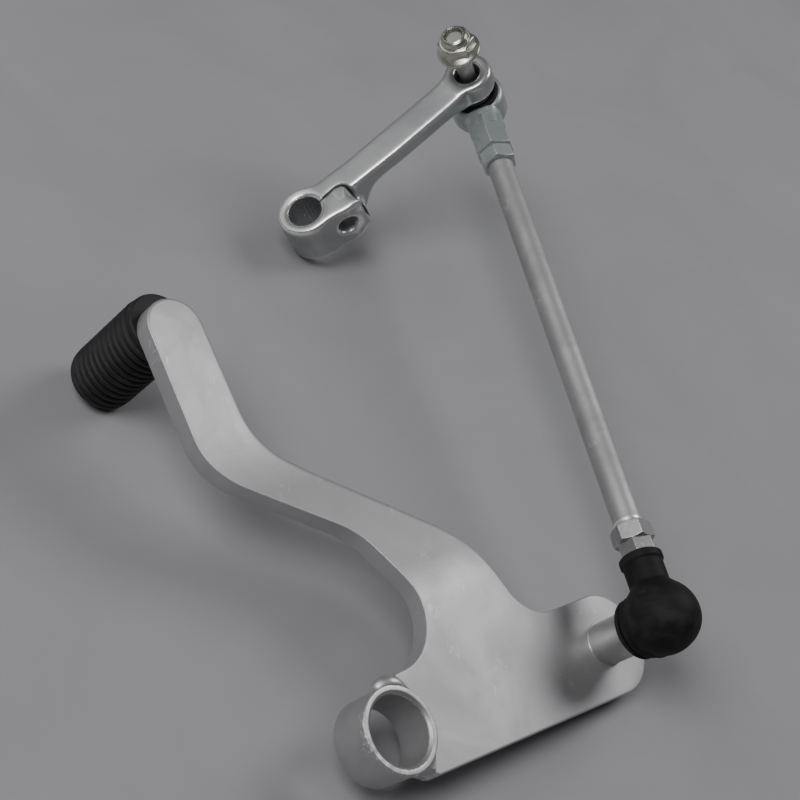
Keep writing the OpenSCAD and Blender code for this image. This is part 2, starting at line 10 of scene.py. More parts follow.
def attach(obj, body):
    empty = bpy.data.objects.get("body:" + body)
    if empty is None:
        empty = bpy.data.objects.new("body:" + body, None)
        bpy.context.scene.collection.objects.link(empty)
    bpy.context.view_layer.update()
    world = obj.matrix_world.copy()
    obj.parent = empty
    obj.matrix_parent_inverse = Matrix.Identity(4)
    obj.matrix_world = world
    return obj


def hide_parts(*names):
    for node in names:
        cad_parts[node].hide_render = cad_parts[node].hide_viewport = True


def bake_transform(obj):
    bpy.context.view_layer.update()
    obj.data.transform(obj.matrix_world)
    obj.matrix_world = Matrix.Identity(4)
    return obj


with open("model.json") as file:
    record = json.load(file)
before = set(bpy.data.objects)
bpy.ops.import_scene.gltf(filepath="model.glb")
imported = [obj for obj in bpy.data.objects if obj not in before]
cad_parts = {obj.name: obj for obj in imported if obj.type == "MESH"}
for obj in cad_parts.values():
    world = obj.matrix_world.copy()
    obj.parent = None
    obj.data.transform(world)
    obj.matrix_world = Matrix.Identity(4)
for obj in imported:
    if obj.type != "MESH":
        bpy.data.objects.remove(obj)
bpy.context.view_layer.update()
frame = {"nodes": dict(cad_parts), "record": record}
mm = 0.001

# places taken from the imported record
joints = {j["name"]: j for j in frame["record"]["behaviour"]["joints"]}
studBall = np.array(joints["lower_swing"]["pos_m"])
headBall = np.array(joints["arm_swing"]["pos_m"])
rodAxis = np.array(joints["upper_tilt"]["axis"])
tiltAxis = np.array(joints["lower_tilt"]["axis"])
armAxis = np.array(joints["arm_swing"]["axis"])
rodUp = np.cross(rodAxis, tiltAxis)


def gridFaces(rows, cols, closeRows):
    # quads between neighbouring rows and columns of a grid of points, whose columns close a ring
    row, col = np.meshgrid(np.arange(rows if closeRows else rows - 1), np.arange(cols),
                           indexing="ij")
    row, col = row.ravel(), col.ravel()
    nextRow, nextCol = (row + 1) % rows, (col + 1) % cols
    return np.stack([row * cols + col, nextRow * cols + col, nextRow * cols + nextCol,
                     row * cols + nextCol], axis=1)


def surface(name, points, body, closeRows=False):
    # points is rows x cols x 3 in metres, poles are merged and faces turned outwards
    rows, cols = points.shape[:2]
    mesh = bpy.data.meshes.new(name)
    faces = gridFaces(rows, cols, closeRows)
    mesh.from_pydata(points.reshape(-1, 3).tolist(), [], faces.tolist())
    bm = bmesh.new()
    bm.from_mesh(mesh)
    bmesh.ops.remove_doubles(bm, verts=bm.verts, dist=2e-6)
    bmesh.ops.dissolve_degenerate(bm, edges=bm.edges, dist=1e-7)
    bmesh.ops.recalc_face_normals(bm, faces=bm.faces)
    bm.to_mesh(mesh)
    bm.free()
    mesh.polygons.foreach_set("use_smooth", np.ones(len(mesh.polygons), bool))
    obj = bpy.data.objects.new(name, mesh)
    bpy.context.scene.collection.objects.link(obj)
    if body:
        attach(obj, body)
    return obj


def revolve(profile, origin, axis, side, steps=128):
    # a profile of (radius, height) in millimetres turned round an axis
    axis, side = np.array(axis, float), np.array(side, float)
    other = np.cross(axis, side)
    a = np.linspace(0, 2 * math.pi, steps, endpoint=False)
    ring = np.cos(a)[:, None] * side + np.sin(a)[:, None] * other
    r, h = profile[:, 0] * mm, profile[:, 1] * mm
    return np.array(origin) + r[:, None, None] * ring[None] + h[:, None, None] * axis


def resample(points, places):
    # points along a broken line at the given shares of its length
    step = np.linalg.norm(np.diff(points, axis=0), axis=1)
    run = np.concatenate([[0], np.cumsum(step)])
    return np.stack([np.interp(places * run[-1], run, points[:, k])
                     for k in range(points.shape[1])], axis=1)


def smoothStep(x):
    x = np.clip(x, 0, 1)
    return x * x * (3 - 2 * x)


def newMaterial(name):
    mat = bpy.data.materials.new(name)
    mat.use_nodes = True
    tree = mat.node_tree
    tree.nodes.clear()
    out = tree.nodes.new("ShaderNodeOutputMaterial")
    shader = tree.nodes.new("ShaderNodeBsdfPrincipled")
    tree.links.new(shader.outputs["BSDF"], out.inputs["Surface"])
    return mat, tree, shader


def feed(tree, node, values):
    # each input gets a link where the value is another node's output, and else the value itself
    for key, value in values.items():
        if hasattr(value, "is_output"):
            tree.links.new(value, node.inputs[key])
        else:
            node.inputs[key].default_value = value


def add(tree, kind, values=None, **props):
    node = tree.nodes.new(kind)
    for key, value in props.items():
        setattr(node, key, value)
    feed(tree, node, values or {})
    return node


def maths(tree, operation, a, b=0.0, c=0.0):
    node = add(tree, "ShaderNodeMath", {0: a, 1: b}, operation=operation)
    if operation == "MULTIPLY_ADD":
        feed(tree, node, {2: c})
    return node.outputs[0]


def spread(tree, value, low, high):
    # nought below low, one above high, and a soft step between them
    node = add(tree, "ShaderNodeMapRange", {0: value, 1: low, 2: high},
               interpolation_type="SMOOTHSTEP")
    return node.outputs[0]


def mixColor(tree, share, a, b):
    return add(tree, "ShaderNodeMix", {0: share, 6: a, 7: b}, data_type="RGBA").outputs[2]


def newGroup(name, inputs, outputs):
    tree = bpy.data.node_groups.new(name, "ShaderNodeTree")
    for label, kind, value in inputs:
        socket = tree.interface.new_socket(name=label, in_out="INPUT", socket_type=kind)
        if value is not None:
            socket.default_value = value
    for label, kind in outputs:
        tree.interface.new_socket(name=label, in_out="OUTPUT", socket_type=kind)
    return tree, tree.nodes.new("NodeGroupInput"), tree.nodes.new("NodeGroupOutput")


def useGroup(tree, group, values):
    node = tree.nodes.new("ShaderNodeGroup")
    node.node_tree = group
    feed(tree, node, values)
    return node


floatKind, vectorKind = "NodeSocketFloat", "NodeSocketVector"


def makeGrain():
    # two sizes of grain as a bump on top of a softened edge
    tree, gin, gout = newGroup("fineGrain", [
        ("Vector", vectorKind, None), ("Edge", floatKind, 0.0004), ("Fine", floatKind, 2600.0),
        ("Coarse", floatKind, 500.0), ("Depth", floatKind, 0.00002)], [("Normal", vectorKind)])
    fine = add(tree, "ShaderNodeTexNoise", {"Vector": gin.outputs["Vector"],
               "Scale": gin.outputs["Fine"], "Detail": 3.0, "Roughness": 0.6})
    coarse = add(tree, "ShaderNodeTexNoise", {"Vector": gin.outputs["Vector"],
                 "Scale": gin.outputs["Coarse"], "Detail": 4.0, "Roughness": 0.55})
    height = maths(tree, "MULTIPLY_ADD", coarse.outputs["Fac"], 1.5, fine.outputs["Fac"])
    bevel = add(tree, "ShaderNodeBevel", {"Radius": gin.outputs["Edge"]}, samples=6)
    bump = add(tree, "ShaderNodeBump", {"Strength": 1.0, "Distance": gin.outputs["Depth"],
               "Height": height, "Normal": bevel.outputs[0]})
    tree.links.new(bump.outputs[0], gout.inputs["Normal"])
    return tree


def makeEdgeRubAndSheen():
    # how far a softened edge turns away from the face, broken up by a noise
    tree, gin, gout = newGroup("edgeRubAndSheen", [
        ("Vector", vectorKind, None), ("Width", floatKind, 0.0006), ("Breakup", floatKind, 900.0),
        ("Start", floatKind, 0.004), ("End", floatKind, 0.10)], [("Mask", floatKind)])
    bevel = add(tree, "ShaderNodeBevel", {"Radius": gin.outputs["Width"]}, samples=6)
    face = add(tree, "ShaderNodeNewGeometry")
    dot = add(tree, "ShaderNodeVectorMath", {0: bevel.outputs[0], 1: face.outputs["True Normal"]},
              operation="DOT_PRODUCT")
    away = maths(tree, "SUBTRACT", 1.0, dot.outputs["Value"])
    mask = spread(tree, away, gin.outputs["Start"], gin.outputs["End"])
    noise = add(tree, "ShaderNodeTexNoise", {"Vector": gin.outputs["Vector"],
                "Scale": gin.outputs["Breakup"], "Detail": 3.0, "Roughness": 0.65})
    broken = spread(tree, noise.outputs["Fac"], 0.38, 0.56)
    tree.links.new(maths(tree, "MULTIPLY", mask, broken), gout.inputs["Mask"])
    return tree


def makeScratches():
    # thin lines: where a stretched noise crosses its middle value, kept in patches only
    tree, gin, gout = newGroup("hairlines", [
        ("Vector", vectorKind, None), ("Turn", floatKind, 0.4), ("Scale", floatKind, 60.0),
        ("Stretch", floatKind, 14.0), ("Width", floatKind, 0.012), ("Patches", floatKind, 0.60)],
        [("Mask", floatKind)])
    turned = add(tree, "ShaderNodeVectorRotate", {"Vector": gin.outputs["Vector"],
                 "Angle": gin.outputs["Turn"]}, rotation_type="Z_AXIS")
    pull = add(tree, "ShaderNodeCombineXYZ", {"X": 1.0, "Y": gin.outputs["Stretch"], "Z": 1.0})
    long = add(tree, "ShaderNodeVectorMath", {0: turned.outputs[0], 1: pull.outputs[0]},
               operation="MULTIPLY")
    noise = add(tree, "ShaderNodeTexNoise", {"Vector": long.outputs[0],
                "Scale": gin.outputs["Scale"], "Detail": 1.0, "Roughness": 0.4})
    away = maths(tree, "ABSOLUTE", maths(tree, "SUBTRACT", noise.outputs["Fac"], 0.5))
    thin = maths(tree, "LESS_THAN", away, gin.outputs["Width"])
    patch = add(tree, "ShaderNodeTexNoise", {"Vector": gin.outputs["Vector"], "Scale": 95.0,
                "Detail": 2.0})
    keep = maths(tree, "GREATER_THAN", patch.outputs["Fac"], gin.outputs["Patches"])
    tree.links.new(maths(tree, "MULTIPLY", thin, keep), gout.inputs["Mask"])
    return tree


def makeSmudges():
    # slow changes over a surface: handling marks, dust and uneven plating
    tree, gin, gout = newGroup("smudges", [
        ("Vector", vectorKind, None), ("Scale", floatKind, 45.0), ("Low", floatKind, 0.35),
        ("High", floatKind, 0.65)], [("Share", floatKind)])
    noise = add(tree, "ShaderNodeTexNoise", {"Vector": gin.outputs["Vector"],
                "Scale": gin.outputs["Scale"], "Detail": 6.0, "Roughness": 0.6,
                "Distortion": 0.6})
    share = spread(tree, noise.outputs["Fac"], gin.outputs["Low"], gin.outputs["High"])
    tree.links.new(share, gout.inputs["Share"])
    return tree


fineGrain = makeGrain()
edgeRubAndSheen = makeEdgeRubAndSheen()
hairlines = makeScratches()
smudges = makeSmudges()
print("effects ready")


def metalFinish(name, look):
    # plated or coated steel: grain, smudges, hairlines, and rubbed edges that also carry a painted
    # highlight, over one base colour
    mat, tree, shader = newMaterial(name)
    at = add(tree, "ShaderNodeTexCoord").outputs["Object"]
    patch = useGroup(tree, smudges, {"Vector": at, "Scale": look["smudgeScale"]})
    color = mixColor(tree, patch.outputs["Share"], (*look["color"], 1), (*look["dull"], 1))
    speck = add(tree, "ShaderNodeTexNoise", {"Vector": at, "Scale": look["speckScale"],
                "Detail": 2.0})
    fleck = spread(tree, speck.outputs["Fac"], 0.60, 0.74)
    color = mixColor(tree, maths(tree, "MULTIPLY", fleck, look["speck"]), color,
                     (*look["speckColor"], 1))
    rubAndSheen = useGroup(tree, edgeRubAndSheen, {"Vector": at, "Width": look["rubAndSheenWidth"]})
    rubbedAndSheen = rubAndSheen.outputs["Mask"]
    if look["wornAndSheen"]:                                        # the piece's own worn edges, also a painted highlight
        edges = add(tree, "ShaderNodeAttribute")
        edges.attribute_name = look["wornAndSheen"]
        rubbedAndSheen = maths(tree, "MAXIMUM", rubbedAndSheen, edges.outputs["Fac"])
    # edges mixed into the bare colour: partly rubbed wear, partly a painted highlight
    color = mixColor(tree, maths(tree, "MULTIPLY", rubbedAndSheen, look["rubAndSheen"]), color,
                     (*look["bareAndHighlight"], 1))
    # two sets of hairlines that cross each other
    line = useGroup(tree, hairlines, {"Vector": at, "Turn": look["turn"],
                    "Patches": look["patches"]})
    crossLine = useGroup(tree, hairlines, {"Vector": at, "Turn": look["turn"] + 1.9,
                         "Scale": 85.0, "Patches": look["patches"] + 0.02})
    lines = maths(tree, "MAXIMUM", line.outputs["Mask"], crossLine.outputs["Mask"])
    color = mixColor(tree, maths(tree, "MULTIPLY", lines, look["scratch"]), color,
                     (*look["bareAndHighlight"], 1))
    rough = maths(tree, "MULTIPLY_ADD", patch.outputs["Share"], look["roughVary"], look["rough"])
    rough = maths(tree, "SUBTRACT", rough, maths(tree, "MULTIPLY", rubbedAndSheen, look["polish"]))
    grain = useGroup(tree, fineGrain, {"Vector": at, "Edge": look["edge"],
                     "Fine": look["fine"], "Coarse": look["coarse"], "Depth": look["depth"]})
    tree.links.new(color, shader.inputs["Base Color"])
    tree.links.new(rough, shader.inputs["Roughness"])
    tree.links.new(grain.outputs["Normal"], shader.inputs["Normal"])
    shader.inputs["Metallic"].default_value = look["metal"]
    shader.inputs["Specular IOR Level"].default_value = 0.5
    return mat


def rubberFinish(name, look):
    # moulded rubber: dark base, paler dust in patches, fine pebbling
    mat, tree, shader = newMaterial(name)
    at = add(tree, "ShaderNodeTexCoord").outputs["Object"]
    dust = useGroup(tree, smudges, {"Vector": at, "Scale": look["dustScale"], "Low": 0.42,
                    "High": 0.72})
    color = mixColor(tree, maths(tree, "MULTIPLY", dust.outputs["Share"], look["dust"]),
                     (*look["color"], 1), (*look["dustColor"], 1))
    rubAndSheen = useGroup(tree, edgeRubAndSheen, {"Vector": at, "Width": 0.0005, "Breakup": 1300.0})
    color = mixColor(tree, maths(tree, "MULTIPLY", rubAndSheen.outputs["Mask"], 0.25), color,
                     (*look["dustColor"], 1))
    rough = maths(tree, "MULTIPLY_ADD", dust.outputs["Share"], look["roughVary"], look["rough"])
    grain = useGroup(tree, fineGrain, {"Vector": at, "Edge": look["edge"],
                     "Fine": look["fine"], "Coarse": look["coarse"], "Depth": look["depth"]})
    tree.links.new(color, shader.inputs["Base Color"])
    tree.links.new(rough, shader.inputs["Roughness"])
    tree.links.new(grain.outputs["Normal"], shader.inputs["Normal"])
    shader.inputs["Specular IOR Level"].default_value = look["gloss"]
    return mat


# looks in linear colour, widths and depths in metres, scales in waves per metre
# the bare colour marks scratches, and rubbed edges that are partly wear and partly a painted highlight
silverLook = {"color": (0.568, 0.552, 0.568), "dull": (0.512, 0.505, 0.518),
              "bareAndHighlight": (0.92, 0.92, 0.91), "smudgeScale": 42.0, "speckScale": 1500.0,
              "speck": 0.25, "speckColor": (0.40, 0.40, 0.41), "edge": 0.00018,
              "rubAndSheenWidth": 0.00042, "rubAndSheen": 0.95, "turn": 0.5, "patches": 0.635, "scratch": 0.35,
              "rough": 0.50, "roughVary": 0.07, "fine": 3200.0, "coarse": 620.0,
              "depth": 0.000012, "metal": 0.8, "polish": 0.18, "wornAndSheen": None}
tubeLook = dict(silverLook, color=(0.52, 0.515, 0.52), dull=(0.44, 0.44, 0.445), edge=0.0005,
                rubAndSheenWidth=0.0008, rubAndSheen=1.0, rough=0.42, coarse=900.0, depth=0.00002)
weldLook = dict(silverLook, color=(0.62, 0.62, 0.62), dull=(0.52, 0.52, 0.525), smudgeScale=260.0,
                speck=0.35, speckScale=2200.0, rough=0.34, coarse=1200.0, depth=0.00003)
filletLook = dict(weldLook, color=(0.48, 0.48, 0.485), dull=(0.42, 0.42, 0.425), rough=0.45, speck=0.2)
rodLook = dict(silverLook, color=(0.50, 0.50, 0.50), dull=(0.42, 0.42, 0.425), smudgeScale=70.0,
               rough=0.56, roughVary=0.08, scratch=0.2, edge=0.0004, rubAndSheenWidth=0.00064,
               fine=3600.0, coarse=800.0, depth=0.000016)
studLook = dict(rodLook, color=(0.54, 0.535, 0.53), dull=(0.42, 0.42, 0.42), rough=0.36)
nutLook = dict(rodLook, color=(0.44, 0.44, 0.445), dull=(0.33, 0.33, 0.335), rough=0.34, rubAndSheen=0.8,
               edge=0.00035, rubAndSheenWidth=0.00056, smudgeScale=160.0)
zincLook = dict(rodLook, color=(0.58, 0.62, 0.62), dull=(0.46, 0.50, 0.50), rough=0.42, rubAndSheen=0.7,
                edge=0.0006, rubAndSheenWidth=0.00096, smudgeScale=140.0)
brightLook = dict(rodLook, color=(0.74, 0.74, 0.66), dull=(0.60, 0.60, 0.52), rough=0.22,
                  roughVary=0.10, rubAndSheen=0.5, metal=0.95, smudgeScale=150.0)
armLook = dict(silverLook, color=(0.46, 0.465, 0.47), dull=(0.39, 0.395, 0.405), rough=0.42,
               edge=0.0003, wornAndSheen="wornAndSheen", rubAndSheen=1.0, polish=0.20, scratch=0.08, coarse=700.0,
               fine=2600.0, depth=0.00002, speck=0.3)
plasticLook = dict(silverLook, color=(0.78, 0.77, 0.72), dull=(0.70, 0.69, 0.64), metal=0.0,
                   rubAndSheen=0.1, scratch=0.05)
pegLook = {"color": (0.012, 0.012, 0.0128), "dustColor": (0.075, 0.072, 0.069), "dustScale": 160.0,
           "dust": 0.30, "rough": 0.52, "roughVary": 0.22, "edge": 0.0003, "fine": 4200.0,
           "coarse": 1400.0, "depth": 0.00003, "gloss": 0.40}
bootLook = dict(pegLook, color=(0.010, 0.010, 0.0105), dust=0.42, dustScale=105.0, rough=0.60,
                depth=0.00001, gloss=0.22, fine=3000.0, coarse=300.0)

silver = metalFinish("satinSilver", silverLook)
tubeSilver = metalFinish("tubeSilver", tubeLook)
weldMetal = metalFinish("weldMetal", weldLook)
filletMetal = metalFinish("filletMetal", filletLook)
rodSteel = metalFinish("rodSteel", rodLook)
studSteel = metalFinish("studSteel", studLook)
nutSteel = metalFinish("nutSteel", nutLook)
zincHead = metalFinish("zincHead", zincLook)
brightZinc = metalFinish("brightZinc", brightLook)
armSteel = metalFinish("forgedArm", armLook)
linerPlastic = metalFinish("linerPlastic", plasticLook)
pegRubber = rubberFinish("pegRubber", pegLook)
bootRubber = rubberFinish("bootRubber", bootLook)

# a painted highlight band on the rod's turned shoulder, in millimetres from the lower ball
shoulderHighlight = {"start": 27.2, "width": 1.6, "fadeIn": 0.1, "fadeOut": 0.2,
               "color": (0.93, 0.93, 0.92), "polish": 0.22}


def paintedHighlightBand(mat):
    # a painted highlight on the turned shoulder: a near-white, smoother band across the rod's line, by
    # distance from the lower ball
    p = shoulderHighlight
    tree = mat.node_tree
    shader = next(n for n in tree.nodes if n.type == "BSDF_PRINCIPLED")
    at = add(tree, "ShaderNodeTexCoord").outputs["Object"]
    place = add(tree, "ShaderNodeVectorMath", operation="DOT_PRODUCT")
    tree.links.new(at, place.inputs[0])
    place.inputs[1].default_value = tuple(rodAxis)
    low = float(studBall @ rodAxis) + p["start"] * mm
    high = low + p["width"] * mm
    inside = maths(tree, "SUBTRACT",
                   spread(tree, place.outputs["Value"], low, low + p["fadeIn"] * mm),
                   spread(tree, place.outputs["Value"], high, high + p["fadeOut"] * mm))
    before = shader.inputs["Base Color"].links[0].from_socket
    tree.links.new(mixColor(tree, inside, before, (*p["color"], 1)), shader.inputs["Base Color"])
    before = shader.inputs["Roughness"].links[0].from_socket
    tree.links.new(maths(tree, "MULTIPLY_ADD", inside, -p["polish"], before),
                   shader.inputs["Roughness"])


paintedHighlightBand(rodSteel)
print("materials ready")


def dress(obj, material):
    obj.data.materials.clear()
    obj.data.materials.append(material)


# what each CAD node wears, also those that a finer piece stands for further down
nodeFinish = {
    "pivot_tube": tubeSilver, "peg_pin": studSteel, "ball_stud": studSteel,
    "boot_ring": bootRubber, "lower_head": nutSteel, "lower_liner": linerPlastic,
    "lower_cap": nutSteel, "lower_lock_nut": nutSteel, "tie_rod": rodSteel,
    "upper_lock_nut": zincHead, "upper_head": zincHead, "upper_liner": linerPlastic,
    "upper_cap": zincHead, "upper_seal": bootRubber, "upper_stud": studSteel,
    "flange_nut": brightZinc, "shift_arm": armSteel,
    "lever_plate": silver, "pivot_weld": weldMetal, "peg_rubber": pegRubber, "boot": bootRubber}
for nodeName, finish in nodeFinish.items():
    dress(frame["nodes"][nodeName], finish)

# the lever plate, in millimetres from the pivot's axis and the front face
leverPlate = {"thick": 6.0, "stepDepth": 15.0, "stepStart": 25.0, "stepEnd": 86.0, "bendIn": 12.0,
              "bendOut": 20.0, "pegHalf": 8.9, "studHalf": 14.15, "pegReach": 118.6,
              "studReach": 80.4, "hornY": -5.8, "saddle": 9.6, "saddleTrim": 0.065,
              "upperRound": 2.2, "lowerRound": 0.25, "saddleRound": 0.5, "tipRound": 0.9,
              "backRound": 0.7, "along": 560, "across": 30}


def stepHeight(x):
    # level, curved, sloping, curved, level: squares of the runs past each bend
    p = leverPlate
    slope = p["stepDepth"] / (p["stepEnd"] - p["stepStart"] - (p["bendIn"] + p["bendOut"]) / 2)
    a, b = np.maximum(x - p["stepStart"], 0), np.maximum(x - p["stepStart"] - p["bendIn"], 0)
    c, d = np.maximum(x - p["stepEnd"] + p["bendOut"], 0), np.maximum(x - p["stepEnd"], 0)
    z = -slope * (a * a - b * b) / (2 * p["bendIn"]) + slope * (c * c - d * d) / (2 * p["bendOut"])
    tilt = slope * (np.minimum(a / p["bendIn"], 1) - np.minimum(c / p["bendOut"], 1))
    return z, z - p["thick"] * np.sqrt(1 + tilt ** 2)


def cornerArc(before, corner, after, radius, count=40):
    # the arc that touches both sides of a corner
    a = (before - corner) / np.linalg.norm(before - corner)
    b = (after - corner) / np.linalg.norm(after - corner)
    half = math.acos(np.clip(a @ b, -1, 1)) / 2
    centre = corner + (a + b) / np.linalg.norm(a + b) * radius / math.sin(half)
    t, u = corner + a * radius / math.tan(half) - centre, corner + b * radius / math.tan(half) - centre
    start = math.atan2(t[1], t[0])
    turn = (math.atan2(u[1], u[0]) - start + math.pi) % (2 * math.pi) - math.pi
    angle = start + turn * np.linspace(0, 1, count)
    return centre + radius * np.stack([np.cos(angle), np.sin(angle)], axis=1)


def plateOutline():
    # both sides of the lever from the pivot end's left corner to the peg's tip: one over the
    # saddle and along the upper edge, the other down round the stud's end and along the lower edge
    p = leverPlate
    ph, sh, y0 = p["pegHalf"], p["studHalf"], p["hornY"]
    cx, cy, px = -1.95, -p["studReach"] - 0.7, p["pegReach"] + 4.8
    edge = math.atan2(y0, math.sqrt(p["saddle"] ** 2 - y0 ** 2))
    leave = np.array([math.sin(edge), -math.cos(edge)])      # along the saddle, downwards
    rim = p["saddle"] * np.array([math.cos(edge), math.sin(edge)])
    mirror = np.array([-1, 1])
    corners = np.array([                                    # x, y and the radius of each corner
        [-13.3, y0, 1.4], [12.4, y0, 1.4], [13.4, -28.3, 15.5],
        [48.9, -20.2, 18], [75.5, ph + 0.8, 20], [px, ph, 0.97 * ph], [px, -ph, 0.97 * ph],
        [80.6, -ph, 22], [40.5, -50.4, 24], [12.6, -57.6, 12], [cx + sh, cy - sh, 0.95 * sh],
        [cx - sh, cy - sh, 0.95 * sh]])
    arcs = [cornerArc(corners[k - 1, :2], corners[k, :2], corners[(k + 1) % 12, :2], corners[k, 2])
            for k in range(12)]
    angle = np.linspace(math.pi - edge + p["saddleTrim"], 2 * math.pi + edge - p["saddleTrim"], 60)
    saddle = p["saddle"] * np.stack([np.cos(angle), np.sin(angle)], axis=1)
    inLeft = cornerArc(corners[0, :2], rim * mirror, rim * mirror + leave * mirror, 1.0, 10)
    inRight = cornerArc(rim + leave, rim, corners[1, :2], 1.0, 10)
    middle = (arcs[0][19] + arcs[0][20]) / 2
    tip = (arcs[5][-1] + arcs[6][0]) / 2
    upper = [[middle], arcs[0][20:], inLeft, saddle, inRight, *arcs[1:6], [tip]]
    lower = [[middle], arcs[0][:20][::-1], *[a[::-1] for a in arcs[6:][::-1]], [tip]]
    return np.concatenate(upper), np.concatenate(lower)


def matched(side, marks, u):
    # points on one side so that its marks fall on the same shares as the other side's
    step = np.linalg.norm(np.diff(side, axis=0), axis=1)
    run = np.concatenate([[0], np.cumsum(step)])
    at = [0.0] + [run[np.argmin(np.linalg.norm(side - np.array(m), axis=1))] for m in marks]
    at.append(run[-1])
    keys = np.array([0, 0.28, 0.38, 0.45, 0.58, 1.0])      # where the ends and marks fall
    place = np.interp(u, keys, at) / run[-1]
    return resample(side, place)


def inward(side, turn):
    # the side's own normal in the plate's plane, to the left or right of its run
    edge = np.gradient(side, axis=0)
    edge /= np.linalg.norm(edge, axis=1, keepdims=True) + 1e-12
    return turn * np.stack([edge[:, 1], -edge[:, 0]], axis=1)


def makePlate():
    # a flat section with four rounded corners carried along the lever between its two sides:
    # offsets from each side follow the side's own normal, and straight lines join the rest
    p = leverPlate
    left, right = plateOutline()
    u = np.linspace(0, 1, p["along"])
    marksL = [(8.6, -5.8), (12.36, -6.8), (13.6, -15.5), (31.5, -24.2)]
    marksR = [(5.5, -93.0), (12.45, -66.8), (13.6, -61.4), (37.0, -51.0)]
    a, b = matched(left, marksL, u), matched(right, marksR, u)
    na, nb = inward(a, 1), inward(b, -1)
    na[0] = nb[0] = (0.70, -0.71)                           # both sides meet in the corner
    na[-1] = nb[-1] = (-1, 0)                               # and again in the peg's tip
    cols = []
    s = np.linspace(0, 1, p["across"])
    rb = p["backRound"]
    # the blanking press left the upper edge soft and the lower one crisp
    ra = np.interp(u, [0, 0.08, 0.93, 1], [p["saddleRound"], p["lowerRound"], p["lowerRound"],
                   p["tipRound"]])[:, None]
    rl = np.interp(u, [0, 0.46, 0.60, 0.95, 1], [p["saddleRound"], p["saddleRound"],
                   p["upperRound"], p["upperRound"], p["tipRound"]])[:, None]

    def put(xy, side, lift):
        front, back = stepHeight(xy[:, 0])
        lift = np.ravel(lift)
        z = front - lift if side == "front" else back + lift
        cols.append(np.column_stack([xy, z]))

    bend = np.linspace(0, math.pi / 2, 7)
    for t in s:                                             # front face, left to right
        put((a + ra * na) * (1 - t) + (b + rl * nb) * t, "front", 0)
    for t in bend[1:]:
        put(b + nb * rl * (1 - math.sin(t)), "front", rl * (1 - math.cos(t)))
    for t in bend[:-1][::-1]:
        put(b + nb * rb * (1 - math.sin(t + bend[1])), "back", rb * (1 - math.cos(t + bend[1])))
    put(b + rb * nb, "back", 0)
    for t in s[1:]:                                         # back face, right to left
        put((b + rb * nb) * (1 - t) + (a + rb * na) * t, "back", 0)
    for t in bend[1:]:
        put(a + na * rb * (1 - math.sin(t)), "back", rb * (1 - math.cos(t)))
    for t in bend[1:][::-1]:
        put(a + na * ra * (1 - math.sin(t)), "front", ra * (1 - math.cos(t)))
    plate = surface("leverPlate", np.stack(cols, axis=1) * mm, "lever")
    dress(plate, silver)
    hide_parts("lever_plate")
    return plate


makePlate()
print("lever plate ready")

# the pivot tube: radii and heights in millimetres, angles in degrees
pivotTube = {"outer": 10.9, "bore": 8.8, "front": 1.5, "back": -11.0, "outerRound": 0.32,
             "boreRound": 0.45, "boreChamfer": 0.75, "spots": 70, "spatterFrom": 48.0,
             "spatterTo": 112.0, "seed": 7, "around": 420}


def roundedCorner(centre, radius, start, end, count=7):
    # an arc of points round a centre, between two angles in degrees
    a = np.radians(np.linspace(start, end, count))
    return np.array(centre) + radius * np.stack([np.cos(a), np.sin(a)], axis=1)


def makeTube():
    # a closed profile turned round the pivot axis, its rims rounded; weld spatter is a sum of
    # small round bumps pushed out of the side and the front rim over one part of the turn
    p = pivotTube
    ro, ri, f, k, c = p["outer"], p["bore"], p["outerRound"], p["boreRound"], p["boreChamfer"]
    side = np.linspace(p["front"] - f, -5.0, 46)[1:]
    profile = np.concatenate([
        roundedCorner((ri + k, p["back"] + k), k, 270, 180),
        [[ri, z] for z in (-8, -5, -2, 0)],
        np.stack([ri + c * np.linspace(0, 1, 7), p["front"] - c * (1 - np.linspace(0, 1, 7))], axis=1),
        np.stack([np.linspace(ri + c, ro - f, 7)[1:-1], np.full(5, p["front"])], axis=1),
        roundedCorner((ro - f, p["front"] - f), f, 90, 0, 12),
        np.stack([np.full(len(side), ro), side], axis=1),
        [[ro, -7], [ro, -9]],
        roundedCorner((ro - f, p["back"] + f), f, 0, -90)])
    points = revolve(profile, (0, 0, 0), (0, 0, 1), (1, 0, 0), p["around"])
    rng = np.random.default_rng(p["seed"])
    spotAngle = np.radians(rng.uniform(p["spatterFrom"], p["spatterTo"], p["spots"]))
    spotZ = 1.3 - 2.6 * rng.beta(1.1, 2.0, p["spots"])
    spotSize = rng.uniform(0.12, 0.34, p["spots"])
    spotLift = rng.uniform(0.04, 0.20, p["spots"])
    angle = np.linspace(0, 2 * math.pi, p["around"], endpoint=False)
    # distance to each spot, along the turn and down the side
    dx = ro * (angle[:, None] - spotAngle[None])
    height = profile[:, 1] + np.where(profile[:, 0] < ro - 0.01, 0.6 * (ro - profile[:, 0]), 0)
    dz = height[:, None] - spotZ[None]
    onSide = (profile[:, 0] > ri + k) & (profile[:, 1] > -4)
    bump = np.einsum("rs,as,s->ra", np.exp(-(dz / spotSize) ** 2) * onSide[:, None],
                     np.exp(-(dx / spotSize) ** 2), spotLift)
    # low waves of hammering and heat along the front rim
    wave = 0.035 * np.sin(9 * angle + 0.4) + 0.03 * np.sin(23 * angle) * smoothStep(
        1 - np.abs(angle - 1.9) / 1.2)
    onRim = np.clip((profile[:, 1] - 0.9) / 0.6, 0, 1) * (profile[:, 0] > ri + 0.1)
    outward = np.stack([np.cos(angle), np.sin(angle), 0 * angle], axis=1)
    points += (bump * mm)[..., None] * outward[None]
    points[..., 2] += (bump * 0.35 + onRim[:, None] * wave[None]) * mm
    tube = surface("pivotTube", points, "lever", closeRows=True)
    dress(tube, tubeSilver)
    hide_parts("pivot_tube")
    return tube


makeTube()
print("pivot tube ready")

